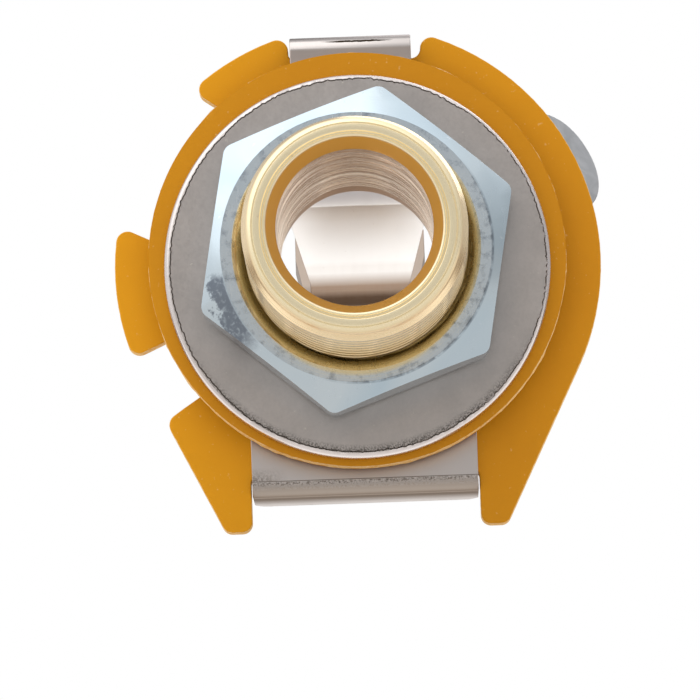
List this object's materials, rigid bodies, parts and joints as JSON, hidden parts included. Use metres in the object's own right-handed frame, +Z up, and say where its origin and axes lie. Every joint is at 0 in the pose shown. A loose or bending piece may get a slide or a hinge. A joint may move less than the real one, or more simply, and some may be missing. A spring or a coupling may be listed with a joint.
{
  "type": "phone jack",
  "caption": "Open-frame quarter inch phone jack: a threaded bushing with a clamp nut, insulating discs, a notched plate and sprung contacts for tip and ring.",
  "frame": {"origin": "on the bushing's axis, at the clamp nut's front face, where the panel seats", "axes": "+Y along the bushing from its mouth to its rear end; +Z up, towards the tip contact; +X right, seen from the plug's side"},
  "size_m": [0.0212, 0.0298, 0.0215],
  "materials": {
    "gold_plate": "gold plated, turned",
    "zinc_steel": "blue zinc plated",
    "nickel_steel": "nickel plated, satin",
    "phenolic": "amber paper laminate, punched",
    "nickel_spring": "nickel plated spring strip",
    "tinned_tag": "tinned, dull"
  },
  "bodies": {
    "stack": {"bushing": "gold_plate", "clamp_nut": "zinc_steel", "front_washer": "nickel_steel", "front_insulator": "phenolic", "insulating_tube": "phenolic", "contact_spacer": "phenolic", "notched_insulator": "phenolic", "sleeve_tag": "tinned_tag"},
    "tip_spring": {"tip_contact": "nickel_spring"},
    "ring_spring": {"ring_contact": "nickel_spring"}
  },
  "joints": [
    {"name": "tip_spring_flex", "type": "hinge", "parent": "stack", "child": "tip_spring", "pos_m": [0, 0.0053, 0.00975], "axis": [1, 0, 0], "range_deg": [0, 14], "stiffness_Nm_per_rad": 0.3, "deforming": ["tip_contact"]},
    {"name": "ring_spring_flex", "type": "hinge", "parent": "stack", "child": "ring_spring", "pos_m": [0, 0.00595, -0.00975], "axis": [-1, 0, 0], "range_deg": [0, 5], "stiffness_Nm_per_rad": 0.3, "deforming": ["ring_contact"]}
  ]
}
